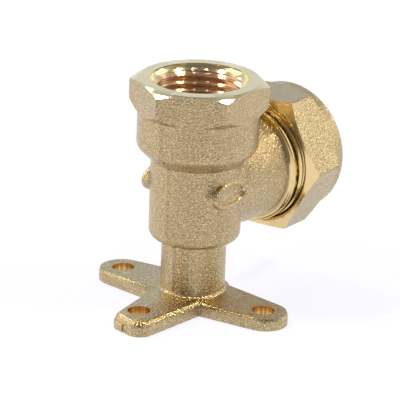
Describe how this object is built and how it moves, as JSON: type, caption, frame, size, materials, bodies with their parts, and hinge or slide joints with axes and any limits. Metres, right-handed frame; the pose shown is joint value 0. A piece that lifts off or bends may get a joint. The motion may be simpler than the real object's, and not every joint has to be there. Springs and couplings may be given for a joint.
{
  "type": "wall plate elbow",
  "caption": "Forged brass wall plate elbow: a T-shaped screw plate carries a female threaded outlet, and a side port with a hexagon nut clamps a plastic pipe.",
  "frame": {"origin": "on the outlet's axis, at the wall face under the plate", "axes": "+Z leaves the wall along the outlet's axis, +X runs out along the pipe port, and the plate's side arms lie along Y"},
  "size_m": [0.0621, 0.05, 0.0521],
  "materials": {
    "forged_brass": "hot-forged and blasted, fine matt grain, with bright turned faces",
    "nut_brass": "hot-forged and blasted flats, bright turned face and bore",
    "turned_brass": "turned, bright",
    "epdm": "moulded black rubber, satin",
    "ptfe": "turned white plastic"
  },
  "bodies": {
    "fitting": {"elbow_body": "forged_brass", "insulating_washer": "ptfe", "o_ring_inner": "epdm", "o_ring_outer": "epdm"},
    "clamp_ring": {"split_ring": "turned_brass"},
    "nut": {"compression_nut": "nut_brass"}
  },
  "joints": [
    {"name": "nut_travel", "type": "slide", "parent": "fitting", "child": "clamp_ring", "axis": [1, 0, 0], "range_m": [-0.00152, 0.0034]},
    {"name": "nut_turn", "type": "hinge", "parent": "clamp_ring", "child": "nut", "pos_m": [0.0285, 0, 0.0276], "axis": [1, 0, 0], "range_deg": [-360, 810]}
  ],
  "couplings": [
    {"joint": "nut_travel", "follows": "nut_turn", "m_per_rad": 0.00023873}
  ]
}
